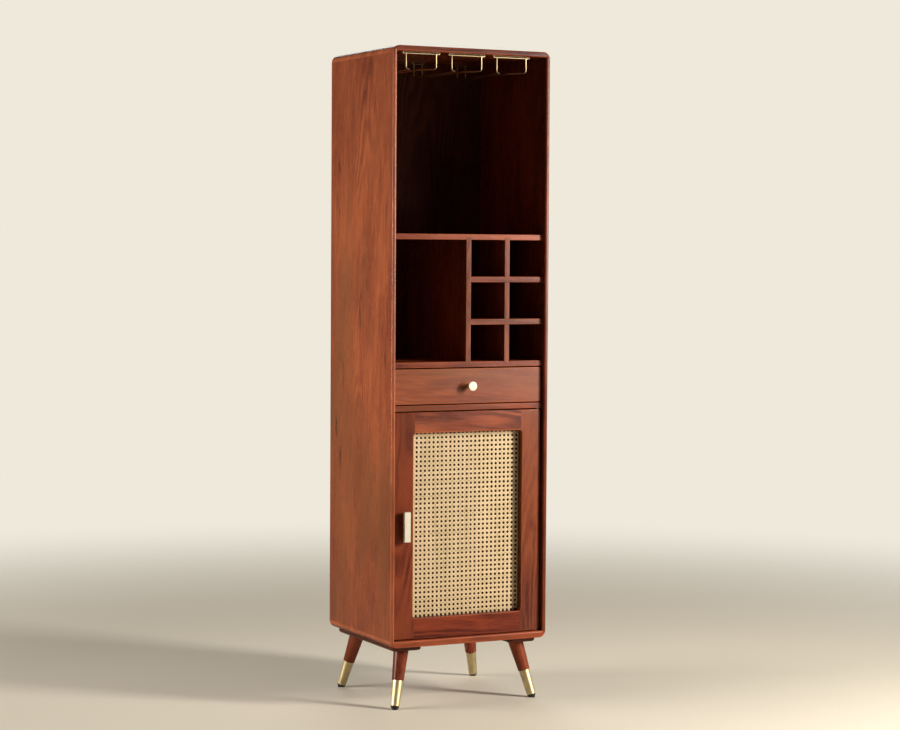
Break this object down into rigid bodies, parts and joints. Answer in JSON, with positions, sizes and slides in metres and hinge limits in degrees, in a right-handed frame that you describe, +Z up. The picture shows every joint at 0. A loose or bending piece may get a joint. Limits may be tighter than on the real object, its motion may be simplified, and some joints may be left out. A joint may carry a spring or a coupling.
{
  "type": "tall bar cabinet",
  "caption": "Tall narrow wooden bar cabinet on splayed brass-tipped legs, with hanging stemware racks, bottle cells, a drawer and a cane-fronted door.",
  "frame": {"origin": "on the floor, in the middle of the overall footprint with the drawer knob included", "axes": "+X to the cabinet's right as seen from the front, the front faces -Y, +Z up"},
  "size_m": [0.475, 0.4162, 1.78],
  "materials": {
    "hardwood": "reddish-brown stained hardwood under a glossy satin lacquer, with darker streaks",
    "dark_hardwood": "dark stained hardwood under satin lacquer",
    "plywood": "stained veneered plywood, satin",
    "brass": "pale brushed and lacquered brass",
    "steel": "plain zinc-plated steel",
    "cane": "natural straw-coloured woven cane webbing",
    "black_plastic": "matt black moulded plastic"
  },
  "bodies": {
    "carcass": {"left_side_panel": "hardwood", "right_side_panel": "hardwood", "top_panel": "hardwood", "bottom_panel": "hardwood", "upper_shelf": "hardwood", "middle_shelf": "hardwood", "drawer_divider": "hardwood", "bottle_rack_side": "hardwood", "bottle_rack_upright_1": "hardwood", "bottle_rack_board_1": "hardwood", "bottle_rack_board_2": "hardwood", "drawer_runner_left": "hardwood", "drawer_runner_right": "hardwood", "leg_front_left": "hardwood", "leg_front_right": "hardwood", "leg_back_left": "hardwood", "leg_back_right": "hardwood", "leg_batten_left": "dark_hardwood", "leg_batten_right": "dark_hardwood", "back_panel": "plywood", "stemware_rack_1": "brass", "stemware_rack_2": "brass", "stemware_rack_3": "brass", "ferrule_front_left": "brass", "ferrule_front_right": "brass", "ferrule_back_left": "brass", "ferrule_back_right": "brass", "upper_pivot_pin": "steel", "lower_pivot_pin": "steel", "leg_bolt_front_left": "steel", "leg_bolt_front_right": "steel", "leg_bolt_back_left": "steel", "leg_bolt_back_right": "steel", "magnetic_catch": "black_plastic", "glide_front_left": "black_plastic", "glide_front_right": "black_plastic", "glide_back_left": "black_plastic", "glide_back_right": "black_plastic"},
    "drawer": {"drawer_front": "hardwood", "drawer_side_left": "hardwood", "drawer_side_right": "hardwood", "drawer_back": "hardwood", "drawer_bottom": "plywood", "drawer_knob": "brass", "knob_screw": "steel"},
    "door": {"door_stile_handle_side": "hardwood", "door_stile_pivot_side": "hardwood", "door_rail_top": "hardwood", "door_rail_bottom": "hardwood", "cane_panel": "cane", "cane_bead_top": "hardwood", "cane_bead_bottom": "hardwood", "cane_bead_handle_side": "hardwood", "cane_bead_pivot_side": "hardwood", "door_handle": "brass", "handle_screw_lower": "steel", "handle_screw_upper": "steel", "strike_plate": "steel"}
  },
  "joints": [
    {"name": "drawer_slide", "type": "slide", "parent": "carcass", "child": "drawer", "axis": [0, -1, 0], "range_m": [0, 0.23]},
    {"name": "door_hinge", "type": "hinge", "parent": "carcass", "child": "door", "pos_m": [0.216, -0.17585, 0.49575], "axis": [0, 0, 1], "range_deg": [0, 95]}
  ]
}
